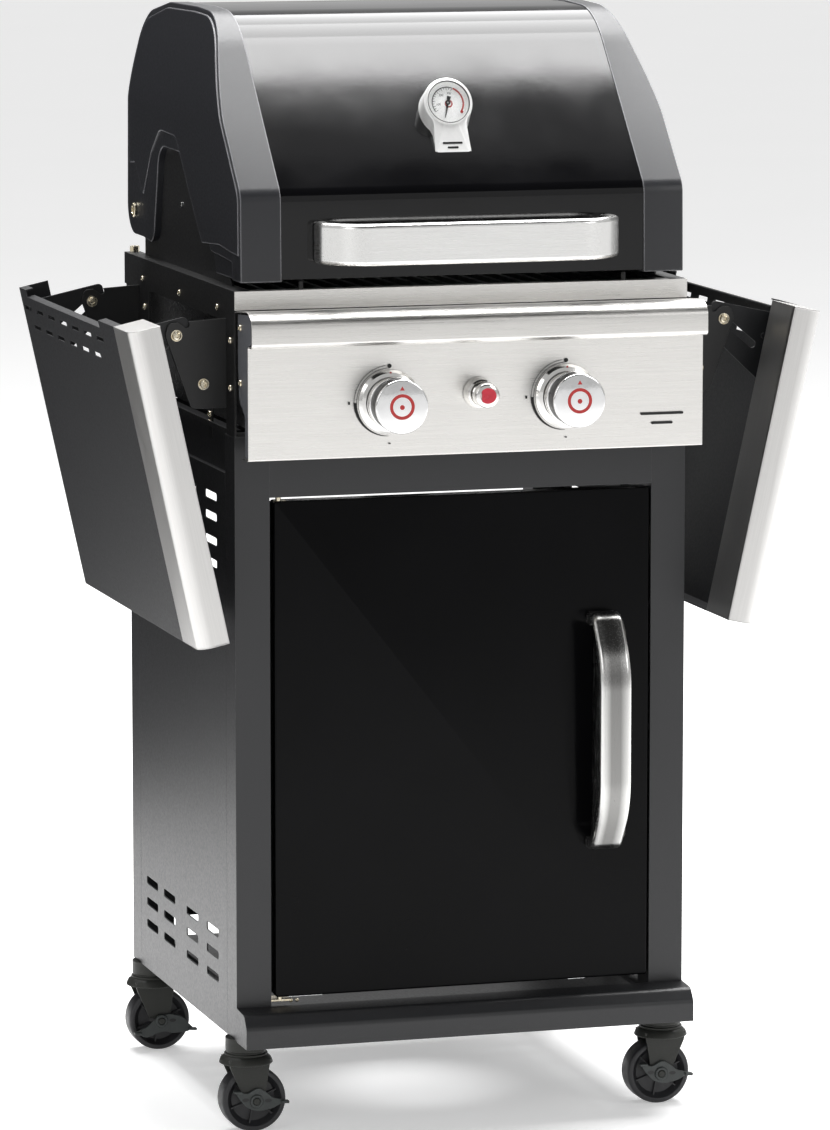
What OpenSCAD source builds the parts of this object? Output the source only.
// Two-burner gas barbecue grill on a closed cart with folding side shelves.
// Millimetres, Z up. The origin is on the floor, under the middle of the whole
// outline. X runs left to right as the cook sees it, and Y runs from the cook
// to the back. Every part is laid out from the middle of the cart's body.

/* [Cart] */
// Outside width of the cart
cart_w = 500; // [490:1:510]
// Outside depth of the cart body
cart_d = 453; // [446:1:460]
// Height of the cart's underside above the floor
cart_z = 102; // [100:1:104]
// Width of a corner post seen from the front
post_w = 38; // [34:1:40]
// Thickness of the cart's sheet metal
sheet = 1.5; // [1:0.1:2]

/* [Firebox] */
// Height of the frame's top edge, where the lid closes
rim_z = 903; // [900:1:906]
// Height of the upper side rail
rail_h = 34; // [30:1:36]

/* [Control panel] */
// Distance of each knob from the middle
knob_x = 97; // [90:1:104]
// Height of the knobs
knob_z = 788; // [784:1:792]
// Diameter of a knob's cap
knob_d = 57; // [50:1:58]
// How far a knob is pushed in before it turns
knob_push = 4; // [2:0.5:4]

/* [Lid] */
// Height of the lid's lower edge
lid_z = 912; // [911:1:914]
// Width of each cast lid end
lid_end_w = 44; // [40:1:46]

/* [Side shelves] */
// Size of a raised shelf away from the cart
shelf_reach = 342; // [330:1:350]
// Angle that a shelf turns through from hanging to level
shelf_fold = 102.3; // [101:0.1:103]

/* [Casters] */
// Diameter of a caster wheel
wheel_d = 70; // [66:1:72]
// Width of a caster wheel
wheel_w = 26; // [22:1:27]
// Distance of the wheel's axle from the swivel's axis
trail = 6; // [5:1:8]

/* [Hidden] */
$fn = 48;

// Finishes
enamel = "#1b1b1e";
powder = "#303035";
cast_grey = "#6b6c70";
steel = "#c9c6c0";
zinc = "#c9b88a";
rubber = "#1f1f20";
iron = "#2b2926";

// Clearances
run = 0.05;   // a pin in its hole
gap = 0.3;    // faces that move past each other

// Distance of the cart's middle behind the middle of the whole outline
cart_back = 37.7;

// Cart
half_w = cart_w / 2;
half_d = cart_d / 2;
post_top = 749;
rail_seam = 707;
deck_z = 124;
skirt_front = -266;
louvre_y = [137, 60, -40, -127];

// Door, which hangs on two pins near its left edge
door_x0 = -207;
door_x1 = 210;
door_z0 = 147;
door_z1 = 680;
door_depth = 18;
door_pin = [-201.5, 5 - half_d];
door_pin_r = 3;
handle_t = 15;
handle_w = 35;
door_handle_x = 155;

// Control panel
panel_y = -283;
panel_low = 730;
igniter_z = 795;
knob_face = -330;
stem_r = 4;

// Lid
lid_end_x0 = 200;
lid_end_x1 = lid_end_x0 + lid_end_w;
lid_wall = 3;
lid_pivot = [220, 952];
pivot_r = 5;
hinge_plate_x = 234;
hinge_plate_t = 2.5;

// Thermometer: its face leans back from the vertical
dial_lean = 20;
dial_at = [-176, 1093];
dial_r = 20;

// Side shelves, as they hang: the upper outer corner of the outline, and the
// fixed bolt that each one turns and slides on
shelf_corner = [380, 870];
shelf_bolt = [304, 855];
shelf_raised = [252.5, 887.5];
shelf_front = -299;
shelf_back = 208;
shelf_rim = 33;
shelf_lip = 9;
trim_y = 72;
bracket_y = [-195, 180];
bracket_t = 2.5;
arm_t = 2.5;
shelf_pin_r = 4;
slot_step = 0.05; // how far the slot's sides lie inside its round ends
// The bolt's place in the shelf, [away from the cart, below the top face]
slot_hang = [
    (shelf_bolt - shelf_corner) * [cos(shelf_fold), -sin(shelf_fold)],
    (shelf_bolt - shelf_corner) * [-sin(shelf_fold), -cos(shelf_fold)]
];
slot_up = [shelf_bolt[0] - shelf_raised[0], shelf_raised[1] - shelf_bolt[1]];
lock_at = [293, 866];
lock_r = 3;

// Casters
caster_x = 234;
caster_front = -203;
caster_rear = 207;
wheel_r = wheel_d / 2;
axle_r = 4;
fork_gap = 15;
fork_t = 2.5;
swivel_r = 5;
cup_z = 88;

// ---------------------------------------------------------------- helpers

function unit(v) = v / norm(v);

// An arc of radius r that rounds the corner b between a and c
function corner(a, b, c, r, n) =
    let (
        p = unit(a - b),
        q = unit(c - b),
        half = acos(max(-1, min(1, p * q))) / 2,
        centre = b + unit(p + q) * r / sin(half),
        from = b + p * r / tan(half) - centre,
        to = b + q * r / tan(half) - centre,
        start = atan2(from[1], from[0]),
        turn = atan2(to[1], to[0]) - start,
        sweep = turn > 180 ? turn - 360 : turn < -180 ? turn + 360 : turn
    )
    [for (i = [0 : n]) centre + r * [cos(start + sweep * i / n), sin(start + sweep * i / n)]];

// A closed outline whose corners [x, y, radius] are rounded where radius > 0
function rounded(pts, n = 5) = [
    for (i = [0 : len(pts) - 1])
        let (
            k = len(pts),
            at = function (j) [pts[(j + k) % k][0], pts[(j + k) % k][1]],
            r = pts[i][2]
        )
        each (r > 0 ? corner(at(i - 1), at(i), at(i + 1), r, n) : [at(i)])
];

// Places what is drawn around the cart's middle in the object's own frame
module on_cart() translate([0, cart_back, 0]) children();

module box(lo, hi) translate(lo) cube(hi - lo);

// Extrudes an outline in (y, z) along X, from x0 to x1
module along_x(x0, x1)
    translate([x0, 0, 0]) rotate([90, 0, 90]) linear_extrude(x1 - x0) children();

// Extrudes an outline in (x, z) along Y, from y0 to y1
module along_y(y0, y1)
    translate([0, y1, 0]) rotate([90, 0, 0]) linear_extrude(y1 - y0) children();

module rod_x(at, r, x0, x1)
    translate([x0, at[0], at[1]]) rotate([0, 90, 0]) cylinder(r = r, h = x1 - x0);

module rod_y(at, r, y0, y1)
    translate([at[0], y0, at[1]]) rotate([-90, 0, 0]) cylinder(r = r, h = y1 - y0);

module rod_z(at, r, z0, z1) translate([at[0], at[1], z0]) cylinder(r = r, h = z1 - z0);

module on_side(side) mirror([side < 0 ? 1 : 0, 0, 0]) children();

module both_sides() for (side = [-1, 1]) on_side(side) children();

// ------------------------------------------------------------------- cart

module louvres(rows, w, h) {
    for (y = louvre_y, z = rows)
        along_x(half_w - 30, half_w + 1)
            polygon(rounded([[y - w / 2, z - h / 2, 3], [y + w / 2, z - h / 2, 3],
                             [y + w / 2, z + h / 2, 3], [y - w / 2, z + h / 2, 3]], 4));
}

module side_panel() {
    y0 = -half_d + post_w + 0.5;
    y1 = half_d - post_w - 0.5;
    difference() {
        box([half_w - 18, y0, cart_z], [half_w, y1, rail_seam]);
        box([half_w - 19, y0 + sheet, cart_z + sheet], [half_w - sheet, y1 - sheet, rail_seam - sheet]);
        louvres([155, 180, 204], 50, 9);
        louvres([604, 628, 654, 676], 50, 9);
    }
}

module left_side_panel() color(powder) on_cart() on_side(-1) side_panel();

module right_side_panel() color(powder) on_cart() on_side(1) side_panel();

module corner_posts() color(powder) on_cart() both_sides()
    for (y0 = [-half_d, half_d - post_w])
        difference() {
            box([half_w - post_w, y0, cart_z], [half_w, y0 + post_w, post_top]);
            box([half_w - post_w + sheet, y0 + sheet, cart_z + 2],
                [half_w - sheet, y0 + post_w - sheet, post_top + 1]);
            rod_z([caster_x, y0 < 0 ? caster_front : caster_rear], 6, cart_z - 1, cart_z + 3);
        }

module base_panel() color(powder) on_cart() {
    x1 = half_w - post_w;
    difference() {
        box([-x1, -half_d + 2, cart_z], [x1, half_d - 1, deck_z]);
        box([-x1 + sheet, -half_d + 2 + sheet, cart_z - 1],
            [x1 - sheet, half_d - 1 - sheet, deck_z - sheet]);
        rod_z([0, 20], 90, cart_z, deck_z + 1);
        for (x = [-150, 150], y = [-120 : 40 : 160])
            box([x - 25, y - 4, cart_z], [x + 25, y + 4, deck_z + 1]);
    }
    difference() {
        rod_z([0, 20], 105, deck_z - sheet, deck_z + 6);
        rod_z([0, 20], 90, cart_z, deck_z + 7);
        rod_z([0, 20], 103, deck_z, deck_z + 7);
    }
}

function skirt_outline() = rounded([
    [-half_d, cart_z - 1, 0], [skirt_front, cart_z - 1, 0], [skirt_front, 123, 9],
    [-256, 136, 9], [-half_d, 138, 0]
]);

module front_skirt() color(powder) on_cart() difference() {
    along_x(-half_w, half_w) polygon(skirt_outline());
    along_x(-half_w + 2, half_w - 2) translate([0, -1]) offset(delta = -2) polygon(skirt_outline());
    box([-half_w + 2, skirt_front + 2, cart_z - 2], [half_w - 2, -half_d - 2, cart_z + 4]);
}

rear_bar_z = [150, 640];
rear_bar_h = 38;
cup_way = 48;  // half the width of the drip cup's way out

module cross_rails() color(powder) on_cart() {
    x1 = half_w - post_w;
    // Fascia between the front posts
    difference() {
        box([-x1, -half_d, 684], [x1, -half_d + 26, 728]);
        box([-x1 - 1, -half_d + sheet, 683], [x1 + 1, -half_d + 27, 728 - sheet]);
    }
    // Rear bars between the back posts
    for (z = rear_bar_z)
        difference() {
            box([-x1, half_d - 16, z], [x1, half_d, z + rear_bar_h]);
            box([-x1 - 1, half_d - 17, z + sheet], [x1 + 1, half_d - sheet, z + rear_bar_h - sheet]);
        }
    // Rear heat shield below the grease tray, with a way out for the drip cup
    shield_top = tray_z0 - 2;
    difference() {
        box([-x1, half_d - 4, rear_bar_z[1] + rear_bar_h - 1], [x1, half_d - 2, shield_top]);
        box([-cup_way, half_d - 5, shield_top - 53], [cup_way, half_d - 1, tray_z0]);
    }
    // Side bands above the side panels, with a flange turned in along the top
    band_y = half_d - post_w - 0.5;
    both_sides() {
        box([half_w - 6, -band_y, rail_seam + gap], [half_w - 4.5, band_y, post_top + 3]);
        box([half_w - 18, -band_y, post_top + 1.5], [half_w - 5, band_y, post_top + 3]);
    }
    // Rear bar above the grease tray
    box([-x1, half_d - 4, post_top - 1 + 22], [x1, half_d - 2, post_top + 47]);
}

// ---------------------------------------------------------------- firebox

tub_x = 228;
tub_y0 = -205;
tub_y1 = 222;
tub_z0 = 775;

module firebox() color(enamel) on_cart() difference() {
    union() {
        box([-tub_x, tub_y0, tub_z0], [tub_x, tub_y1, rim_z - 4]);
        box([-half_w + 3, tub_y0 - 16, rim_z - 4], [half_w - 3, tub_y1 + 16, rim_z - 2]);
        // Runners that carry the grease tray
        for (side = [-1, 1])
            on_side(side) difference() {
                box([150, -170, 738], [158, 215, tub_z0]);
                box([149, -171, 740], [156, 216, 770]);
            }
    }
    box([-tub_x + 2, tub_y0 + 2, tub_z0 + 2], [tub_x - 2, tub_y1 - 2, rim_z]);
    box([-110, -140, tub_z0 - 1], [110, 170, tub_z0 + 3]);
    for (x = [-knob_x, knob_x]) rod_y([x, 800], 17, tub_y0 - 1, tub_y0 + 3);
    for (x = [-120 : 60 : 120]) box([x - 20, tub_y1 - 3, 850], [x + 20, tub_y1 + 1, 860]);
}

module hinge_plate_outline()
    polygon(rounded([
        [-170, rim_z - 1, 0], [-30, 1034, 25], [120, 1036, 30], [165, 985, 30],
        [238, 972, 16], [238, 934, 16], [205, 926, 6], [205, rim_z - 1, 0]
    ]));

module firebox_frames() color("#2d2c2b") on_cart() both_sides() difference() {
    union() {
        // Side wall with its window between the uprights
        difference() {
            box([half_w - 2, -half_d - 1.5, post_top + 1], [half_w, half_d + 21, rim_z]);
            box([half_w - 3, -194, post_top + 6], [half_w + 1, 137, rim_z - rail_h]);
            along_x(half_w - 3, half_w + 1)
                polygon([
                    [231, post_top], [half_d + 22, post_top], [half_d + 22, 868], [240, 868], [231, 850]
                ]);
        }
        // Top flange, and the plate that stands up inside the lid
        box([232, -half_d - 1.5, rim_z - 2], [half_w, half_d + 21, rim_z]);
        along_x(hinge_plate_x, hinge_plate_x + hinge_plate_t) hinge_plate_outline();
        // Foot flange on the posts
        box([half_w - post_w, -half_d, post_top], [half_w, -194, post_top + 1.5]);
        box([half_w - post_w, 190, post_top], [half_w, half_d, post_top + 1.5]);
    }
    for (y = [-158, 2, 165]) rod_x([y, rim_z - 23], 3, half_w - 5, half_w + 1);
    rod_x(lid_pivot, pivot_r + run, hinge_plate_x - 1, hinge_plate_x + 4);
    for (y = [40, 168]) rod_x([y, 972], 3.3, hinge_plate_x - 1, hinge_plate_x + 4);
    along_x(hinge_plate_x - 1, hinge_plate_x + 4)
        polygon(rounded([[4, 1000, 2], [10, 1000, 2], [10, 1014, 2], [4, 1014, 2]], 3));
}

module front_band() color(steel) on_cart() {
    box([-half_w, -half_d - 3, 883], [half_w, -half_d - 1.5, rim_z]);
    box([-half_w + 19, -half_d - 3, rim_z - 1.5], [half_w - 19, -215, rim_z]);
}

module burners() color("#8c857a") on_cart()
    for (x = [-knob_x, knob_x]) difference() {
        union() {
            rod_y([x, 800], 19, -185, 190);
            rod_y([x, 800], 16, -234, -184);
        }
        rod_y([x, 800], 17.5, -183, 188);
        rod_y([x, 800], 14, -235, -182);
        for (y = [-170 : 20 : 180], side = [-1, 1])
            translate([x, y, 800]) rotate([0, 60 * side, 0]) cylinder(r = 2, h = 25, $fn = 12);
    }

module flame_tamers() color(iron) on_cart()
    for (x = [-knob_x, knob_x])
        along_y(-195, 212)
            polygon([[x - 70, 838], [x, 872], [x + 70, 838], [x + 70, 840.5], [x, 874.5], [x - 70, 840.5]]);

module cooking_grates() color(iron) on_cart()
    for (side = [-1, 1]) on_side(side) {
        for (x = [4 : 21.5 : 221]) box([x - 2, -200, 886], [x + 4, 218, 897]);
        for (y = [-200, 5, 210]) box([2, y, 886], [223, y + 8, 893]);
    }

module warming_rack() color(steel) on_cart() {
    for (y = [40, 168]) rod_x([y, 972], 3, -238, 238);
    for (x = [-216 : 24 : 216]) rod_y([x, 976.9], 2, 34, 174);
}

// ---------------------------------------------------------- control panel

function panel_outline() = [
    [-229.5, 883], [-279, 887], [-292, 884], [-298, 878], [-299, 872], [-299, 856], [-296, 852],
    [-283, 848], [panel_y, panel_low], [-262, panel_low]
];

// The same sheet's inside face
function panel_inside() = [
    [-262, panel_low + sheet], [panel_y + sheet, panel_low + sheet], [panel_y + sheet, 849],
    [-295, 853.5], [-297.5, 857], [-297.5, 872], [-296.6, 877.3], [-291.2, 882.6],
    [-279, 885.5], [-229.5, 881.5]
];

module control_panel() color(steel) on_cart() difference() {
    along_x(-half_w, half_w) polygon(concat(panel_outline(), panel_inside()));
    for (x = [-knob_x, knob_x]) rod_y([x, knob_z], 9, panel_y - 1, panel_y + 3);
    rod_y([0, igniter_z], 11.5, panel_y - 1, panel_y + 3);
}

module panel_end_caps() color(cast_grey) on_cart() both_sides()
    along_x(half_w - 4, half_w - 1)
        polygon(rounded([
            [-239, 880, 0], [-279, 883, 6], [-295.5, 877, 6], [-295.5, 856, 4], [-280.5, 850, 0],
            [-280.5, 733, 0], [-266, 733, 3], [-266, 776, 6], [-243, 790, 10], [-239, 830, 0]
        ], 3));

module panel_bezels() color("silver") on_cart() {
    for (x = [-knob_x, knob_x]) translate([x, panel_y, knob_z]) rotate([90, 0, 0])
        rotate_extrude() polygon([[24, 0], [34, 0], [34, 1.5], [31, 4], [27, 5], [25, 4.5], [24, 3]]);
    translate([0, panel_y, igniter_z]) rotate([90, 0, 0])
        rotate_extrude() polygon([
            [11.3, -6], [11.3, 12], [13, 14], [15, 13], [16.5, 3], [16.5, 0], [11.4, 0], [11.4, -6]
        ]);
}

pipe_y = -246;
pipe_z = 758;
pipe_r = 9;
inlet_x = 190;
inlet_r = 6.58;

module gas_manifold() color("#9a9a98") on_cart() {
    rod_x([pipe_y, pipe_z], pipe_r, -135, inlet_x);
    // Hose inlet that points back under the firebox
    translate([inlet_x, pipe_y, pipe_z]) sphere(r = pipe_r);
    rod_y([inlet_x, pipe_z], pipe_r, pipe_y, -221);
    translate([inlet_x, -222, pipe_z]) rotate([-90, 0, 0]) cylinder(r = 12, h = 10, $fn = 6);
    difference() {
        rod_y([inlet_x, pipe_z], inlet_r, -213, -190);
        rod_y([inlet_x, pipe_z], 4, -210, -189);
    }
}

module gas_valves() color("#b59a5b") on_cart()
    for (x = [-knob_x, knob_x]) difference() {
        union() {
            box([x - 12, -266, 747], [x + 12, -236, 806]);
            rod_y([x, knob_z], 8, -276, -262);
            rod_y([x, 800], 5, -237, -230);
        }
        rod_x([pipe_y, pipe_z], pipe_r + run, x - 13, x + 13);
        rod_y([x, knob_z], stem_r + run, -277, -250);
        rod_y([x, 800], 1, -238, -229);
    }

module igniter_module() color(rubber) on_cart() {
    rod_y([0, igniter_z], 10, -272, -244);
    rod_y([0, igniter_z], 4, -244, -238);
}

module stem_at(x) color(zinc) on_cart() difference() {
    rod_y([x, knob_z], stem_r, -318, -254);
    box([x - 5, -319, knob_z + 2.8], [x + 5, -300, knob_z + 5]);
}

module left_knob_stem() stem_at(-knob_x);

module right_knob_stem() stem_at(knob_x);

module knob_at(x) color("gainsboro") on_cart() difference() {
    translate([x, knob_face, knob_z]) rotate([-90, 0, 0]) rotate_extrude()
        polygon([[0, 0], [knob_d / 2 - 1.5, 0], [knob_d / 2, 1.5], [knob_d / 2, 9],
                 [knob_d / 2 - 1.5, 9.5], [knob_d / 2 - 2.5, 37], [0, 37]]);
    // Bore for the stem, with room for the knob to be pushed in, and the hollow back
    rod_y([x, knob_z], stem_r + run, -318 - knob_push - 1, -290);
    rod_y([x, knob_z], 20, -300, -290);
}

module left_knob() knob_at(-knob_x);

module right_knob() knob_at(knob_x);

module igniter_button() color("#c22a3a") on_cart() difference() {
    translate([0, -318, igniter_z]) rotate([-90, 0, 0]) rotate_extrude()
        polygon([[0, 0], [8, 0], [8, 1], [12.5, 1], [13.3, 2], [13.3, 14], [11, 16], [11, 40], [0, 40]]);
    rod_y([0, igniter_z], 6, -290, -277);
}

// -------------------------------------------------------------------- lid

function lid_outline() = rounded([
    [-233, lid_z, 0], [-231, 1004, 22], [-58, 1184, 220], [35, 1187, 0], [150, 1186, 60],
    [243, 1170, 38], [252, 1074, 60], [256, 925, 42], [190, 925, 0], [-120, lid_z, 0]
], 8);

// The opening in each end that the hinge plate shows through
function arch_outline() = rounded([
    [-124, lid_z - 5, 0], [-109, 936, 6], [-14, 1030, 30], [112, 1032, 30], [138, 918, 30],
    [190, 926, 0], [195, lid_z - 5, 0]
], 6);

// Everything inside the leaning upper part of a lid end's outer face
module end_lean(x1)
    along_y(-300, 300) polygon([
        [lid_end_x0 - 5, 900], [x1, 900], [x1, 1090], [x1 - 19, 1160], [x1 - 24, 1200],
        [lid_end_x0 - 5, 1200]
    ]);

module lid_end() difference() {
    intersection() {
        along_x(lid_end_x0, lid_end_x1) difference() {
            polygon(lid_outline());
            polygon(arch_outline());
        }
        end_lean(lid_end_x1);
    }
    intersection() {
        along_x(lid_end_x0 - 1, lid_end_x1) difference() {
            offset(delta = -lid_wall) polygon(lid_outline());
        }
        end_lean(lid_end_x1 - lid_wall);
    }
    box([lid_end_x0 - 1, -80, lid_z - 2], [lid_end_x1 - lid_wall, 258, 946]);
    box([lid_end_x0 - 1, -225, lid_z - 2], [lid_end_x1 - lid_wall, -80, lid_z + 5]);
    rod_x(lid_pivot, pivot_r + run, lid_end_x1 - 10, lid_end_x1 + 1);
}

module lid_left_end() color(powder) on_cart() on_side(-1) lid_end();

module lid_right_end() color(powder) on_cart() on_side(1) lid_end();

module lid_shell() color(enamel) on_cart() along_x(-lid_end_x0, lid_end_x0) difference() {
    offset(delta = -1) polygon(lid_outline());
    offset(delta = -lid_wall) polygon(lid_outline());
    translate([-226, lid_z - 5]) square([474, 30]);
    translate([0, lid_z - 5]) square([300, 60]);
}

// A strap handle's side outline: root at depth 0, face at -reach, from -len/2 to len/2
function strap(len, reach, slope) = concat(
    rounded([[0, len / 2, 0], [-reach * 0.45, len / 2, 14], [-reach, len / 2 - slope, 40],
             [-reach, slope - len / 2, 40], [-reach * 0.45, -len / 2, 14], [0, -len / 2, 0],
             [0, handle_t - len / 2, 0], [handle_t - reach * 0.75, handle_t - len / 2, 8],
             [handle_t - reach, slope - len / 2 + 5, 28], [handle_t - reach, len / 2 - slope - 5, 28],
             [handle_t - reach * 0.75, len / 2 - handle_t, 8], [0, len / 2 - handle_t, 0]], 6)
);

module lid_handle() color(steel) on_cart()
    translate([0, -231.8, 931]) linear_extrude(44)
        polygon([for (p = strap(331, 57, 30)) [p[1], p[0]]]);

module in_dial_frame()
    translate([0, dial_at[0], dial_at[1]]) rotate([90 - dial_lean, 0, 0]) children();

module thermometer_housing() color(steel) on_cart() difference() {
    in_dial_frame() difference() {
        union() {
            translate([0, 0, -44]) cylinder(r = 27, h = 44);
            translate([-20.5, -62, -44]) cube([41, 62, 44]);
        }
        translate([0, 0, -5]) cylinder(r = 22, h = 6);
    }
    along_x(-40, 40) offset(delta = 0.2) polygon(lid_outline());
}

module thermometer_dial() color("white") on_cart() in_dial_frame() {
    translate([0, 0, -5]) cylinder(r = 21.9, h = 1.2);
    translate([0, 0, -3.8]) cylinder(r = 1, h = 1.6);
}

module thermometer_glass() color("#dfe8ea", 0.35) on_cart() in_dial_frame()
    translate([0, 0, -1.4]) cylinder(r = 21.9, h = 1.2);

module thermometer_needle() color("#303030") on_cart() in_dial_frame()
    translate([0, 0, -3.2]) rotate(-105) linear_extrude(0.6) difference() {
        union() {
            circle(r = 2.6);
            polygon([[0, -1.2], [17, -0.3], [17, 0.3], [0, 1.2], [-7, 2.1], [-7, -2.1]]);
        }
        circle(r = 1 + run);
    }

module lid_bumpers() color(rubber) on_cart()
    for (x = [-178, 178]) rod_z([x, -229], 2.5, rim_z + gap, lid_z);

// ------------------------------------------------------------------- door

module door_panel() color(enamel) on_cart() difference() {
    box([door_x0, -half_d, door_z0], [door_x1, -half_d + door_depth, door_z1]);
    box([door_x0 + 2, -half_d + 2, door_z0 + 2], [door_x1 - 2, -half_d + door_depth + 1, door_z1 - 2]);
    for (z = [door_z0 - 1, door_z1 - 3]) rod_z(door_pin, door_pin_r + run, z, z + 4);
}

module door_pins() color(zinc) on_cart()
    for (z = [[142.5, 154], [673, 686.5]]) rod_z(door_pin, door_pin_r, z[0], z[1]);

module door_handle() color(steel) on_cart()
    translate([0, -half_d, 420]) along_x(door_handle_x - handle_w / 2, door_handle_x + handle_w / 2)
        polygon(strap(258, 58, 52));

// Hinge plates above and below the door, and the magnetic catch
module door_fittings() color(zinc) on_cart() {
    for (z = [142.5, 684.2])
        difference() {
            box([-212, -half_d + 1.6, z], [-190, -half_d + 22, z + 2]);
            rod_z(door_pin, door_pin_r + run, z - 1, z + 3);
        }
    box([194, -half_d + 19, 600], [212, -half_d + 34, 640]);
}

// ------------------------------------------------------------ grease tray

tray_x = 155;
tray_z0 = 741;
tray_z1 = 768;

module grease_tray() color(cast_grey) on_cart() difference() {
    union() {
        box([-tray_x, -168, tray_z0], [tray_x, 218, tray_z1]);
        box([-60, 217, tray_z0], [60, 236, tray_z0 + 2]);
    }
    box([-tray_x + 1.5, -166.5, tray_z0 + 1.5], [tray_x - 1.5, 216.5, tray_z1 + 1]);
    rod_z([0, 20], 11, tray_z0 - 1, tray_z0 + 3);
}

module drip_cup() color("silver") on_cart() difference() {
    union() {
        rod_z([0, 20], 38, 690, tray_z0);
        rod_z([0, 20], 42, tray_z0 - 2, tray_z0);
    }
    rod_z([0, 20], 37, 691, tray_z0 + 1);
}

// ----------------------------------------------------------- side shelves

// Places a shelf that is drawn level, top face at z = 0, as it hangs
module hang(side) on_cart() on_side(side)
    translate([shelf_corner[0], 0, shelf_corner[1]]) rotate([0, shelf_fold, 0]) children();

module shelf_tray() difference() {
    box([0, shelf_front + trim_y, -shelf_rim], [shelf_reach, shelf_back, 0]);
    box([sheet, shelf_front + trim_y - 1, -shelf_rim - 1],
        [shelf_reach - sheet, shelf_back - sheet, -sheet]);
    // The inner edge is a low lip, which is set back between its two ends
    box([-1, shelf_front + trim_y - 1, -shelf_rim - 1], [10, shelf_back - sheet, -shelf_lip]);
    box([-1, -160, -shelf_rim - 1], [8, 178, 1]);
    // Two rows of slots near the inner edge
    for (row = [0, 1], i = [0 : 6 - row])
        translate([21.5 + 20 * row, -150 + 55.7 * i + 28 * row, -3])
            box([-2.5, -16, 0], [2.5, 16, 4]);
}

module shelf_arm(y) difference() {
    along_y(y, y + arm_t) polygon(rounded([
        [14, -1, 0], [14, -87, 5], [44, -87, 12], [64, -58, 16], [98, -1, 0]
    ]));
    // Slot that the shelf slides along on its bolt; its sides are a hair inside its round ends
    for (p = [slot_hang, slot_up])
        translate([p[0], y - 1, -p[1]]) rotate([-90, 0, 0]) cylinder(r = shelf_pin_r + gap, h = arm_t + 2);
    along_y(y - 1, y + arm_t + 1) polygon([
        for (s = [[slot_hang, 1], [slot_hang, -1], [slot_up, -1], [slot_up, 1]])
            let (d = unit(slot_up - slot_hang) * s[1] * (shelf_pin_r + gap - slot_step))
            [s[0][0] + d[1], d[0] - s[0][1]]
    ]);
}

module shelf_panel() {
    shelf_tray();
    // Lip along the set-back part of the inner edge
    box([8, -161, -shelf_lip], [8 + sheet, 179, 0]);
    for (y = bracket_y) {
        shelf_arm(y + bracket_t + gap);
        // Stud that drops into the bracket's notch
        stud = lock_at - shelf_raised;
        rod_y(stud, lock_r, y, y + bracket_t + gap + 1);
    }
}

function trim_outline(t) = rounded([
    [shelf_front + trim_y - t, -shelf_rim - t, 0], [shelf_front + t, -shelf_rim - t, 0],
    [shelf_front + t, -t, 16 - t], [shelf_front + trim_y - t, -t, 0]
], 6);

module shelf_trim() difference() {
    along_x(0, shelf_reach) polygon(trim_outline(0));
    along_x(sheet, shelf_reach - sheet) polygon(trim_outline(sheet));
}

module left_shelf_panel() color(powder) hang(-1) shelf_panel();

module right_shelf_panel() color(powder) hang(1) shelf_panel();

module left_shelf_trim() color(steel) hang(-1) shelf_trim();

module right_shelf_trim() color(steel) hang(1) shelf_trim();

module shelf_pivots(side) color(zinc) on_cart() on_side(side)
    for (y = bracket_y) {
        rod_y(shelf_bolt, shelf_pin_r, y - gap, y + bracket_t + 2 * gap + arm_t);
        rod_y(shelf_bolt, 6.5, y - gap - 4, y - gap);
        rod_y(shelf_bolt, 7, y + bracket_t + 2 * gap + arm_t, y + bracket_t + 2 * gap + arm_t + 3);
    }

module left_shelf_pivots() shelf_pivots(-1);

module right_shelf_pivots() shelf_pivots(1);

module shelf_brackets() color("#262627") on_cart() both_sides()
    for (y = bracket_y) difference() {
        along_y(y, y + bracket_t) polygon(rounded([
            [half_w, 872, 0], [312, 868, 6], [316, 856, 8], [288, 777, 8], [half_w, 777, 0]
        ]));
        rod_y(shelf_bolt, shelf_pin_r + run, y - 1, y + bracket_t + 1);
        // Notch that holds the raised shelf's stud
        rod_y(lock_at, lock_r + gap, y - 1, y + bracket_t + 1);
        along_y(y - 1, y + bracket_t + 1)
            polygon([lock_at + [-2.8, 1.8], lock_at + [2.8, -1.8], lock_at + [14, 6], lock_at + [0, 12]]);
    }

// -------------------------------------------------------------- fasteners

module screw_x(at, x, r = 4) rod_x(at, r, x, x + 2);

module frame_fasteners() color(zinc) on_cart() both_sides() {
    // Pivot bolts of the lid
    rod_x(lid_pivot, pivot_r, hinge_plate_x, lid_end_x1 + gap);
    rod_x(lid_pivot, 8, lid_end_x1 + gap, lid_end_x1 + gap + 3);
    rod_x(lid_pivot, 7, hinge_plate_x - 5, hinge_plate_x);
    // Screws through the uprights
    for (z = [800, 850], y = [-212, 155]) screw_x([y, z], half_w, 3);
    // Screws in the control panel's ends
    for (z = [809, 867]) screw_x([-250, z], half_w - 1, 3.5);
    // Screws under the side rail
    rod_z([240, 240], 5, rim_z, rim_z + 7);
}

// ---------------------------------------------------------------- casters

module at_caster(side, y) translate([0, cart_back, 0]) on_side(side) translate([caster_x, y, 0]) children();

module caster_sockets() color(rubber)
    for (side = [-1, 1], y = [caster_front, caster_rear]) at_caster(side, y) difference() {
        union() {
            translate([0, 0, cup_z]) cylinder(r = 22, h = cart_z - cup_z);
            translate([0, 0, cart_z]) cylinder(r = 5.5, h = 34);
        }
        translate([0, 0, cup_z - 1]) cylinder(r = swivel_r + run, h = 12);
    }

module caster_leg()
    polygon(rounded([[-22, 80, 0], [22, 80, 0], [22, 72, 6], [-trail + 10, wheel_r - 9, 8],
                     [-trail - 10, wheel_r - 9, 8], [-22, 72, 6]]));

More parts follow.
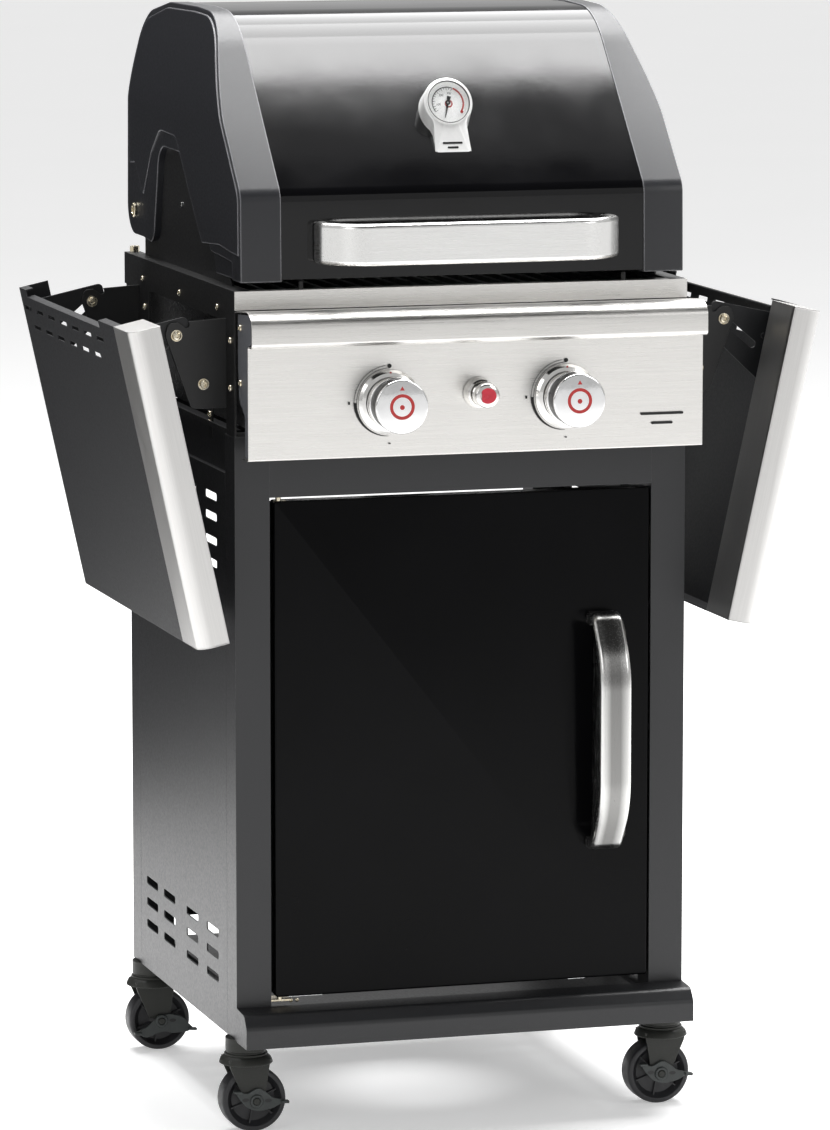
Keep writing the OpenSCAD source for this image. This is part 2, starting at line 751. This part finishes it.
module caster_fork(side, y) color(rubber) at_caster(side, y) difference() {
    union() {
        translate([0, 0, 76]) cylinder(r1 = 29, r2 = 24, h = 6);
        translate([0, 0, 81]) cylinder(r = 20, h = cup_z - gap - 81);
        translate([0, 0, 82]) cylinder(r = swivel_r, h = 15);
        for (w = [-fork_gap - fork_t, fork_gap]) along_y(w, w + fork_t) caster_leg();
        rod_y([-trail, wheel_r], axle_r, -fork_gap - fork_t - 6, fork_gap + fork_t + 2);
    }
}

module caster_wheel(side, y) color(rubber) at_caster(side, y)
    translate([-trail, 0, wheel_r]) rotate([90, 0, 0]) rotate_extrude($fn = 64) {
        w = wheel_w / 2;
        polygon([[axle_r + run, -w - 1], [9, -w - 1], [9, -w + 5], [wheel_r - 7, -w + 5], [wheel_r - 6, -w],
                 [wheel_r - 2, -w], [wheel_r, -w + 2], [wheel_r, w - 2], [wheel_r - 2, w],
                 [wheel_r - 6, w], [wheel_r - 7, w - 5], [9, w - 5], [9, w + 1], [axle_r + run, w + 1]]);
    }

module caster_pedal(side, y) color(rubber) at_caster(side, y) {
    front = -fork_gap - fork_t - gap;
    translate([-trail, 0, wheel_r]) difference() {
        along_y(front - 4, front) polygon(rounded([
            [-36, 5, 2], [-20, 3, 10], [-8, 15, 8], [8, 15, 8], [20, 3, 10], [36, 5, 2],
            [33, -4, 4], [10, -13, 10], [-10, -13, 10], [-33, -4, 4]
        ], 3));
        rod_y([0, 0], axle_r + run, front - 5, front + 1);
    }
    // Toe tabs
    for (s = [-1, 1])
        box([-trail + s * 32 - 5, front - 9, wheel_r + 1], [-trail + s * 32 + 5, front - 3.9, wheel_r + 4]);
}

module front_left_fork() caster_fork(-1, caster_front);
module front_left_wheel() caster_wheel(-1, caster_front);
module front_left_pedal() caster_pedal(-1, caster_front);
module front_right_fork() caster_fork(1, caster_front);
module front_right_wheel() caster_wheel(1, caster_front);
module front_right_pedal() caster_pedal(1, caster_front);
module rear_left_fork() caster_fork(-1, caster_rear);
module rear_left_wheel() caster_wheel(-1, caster_rear);
module rear_left_pedal() caster_pedal(-1, caster_rear);
module rear_right_fork() caster_fork(1, caster_rear);
module rear_right_wheel() caster_wheel(1, caster_rear);
module rear_right_pedal() caster_pedal(1, caster_rear);

// ------------------------------------------------------------------ nodes

left_side_panel();
right_side_panel();
corner_posts();
base_panel();
front_skirt();
cross_rails();
firebox();
firebox_frames();
front_band();
control_panel();
panel_end_caps();
panel_bezels();
gas_manifold();
gas_valves();
burners();
flame_tamers();
cooking_grates();
warming_rack();
igniter_module();
shelf_brackets();
frame_fasteners();
door_fittings();
caster_sockets();
grease_tray();
drip_cup();
door_panel();
door_handle();
door_pins();
lid_shell();
lid_left_end();
lid_right_end();
lid_handle();
thermometer_housing();
thermometer_dial();
thermometer_glass();
thermometer_needle();
lid_bumpers();
left_knob_stem();
left_knob();
right_knob_stem();
right_knob();
igniter_button();
left_shelf_panel();
left_shelf_trim();
left_shelf_pivots();
right_shelf_panel();
right_shelf_trim();
right_shelf_pivots();
front_left_fork();
front_left_wheel();
front_left_pedal();
front_right_fork();
front_right_wheel();
front_right_pedal();
rear_left_fork();
rear_left_wheel();
rear_left_pedal();
rear_right_fork();
rear_right_wheel();
rear_right_pedal();
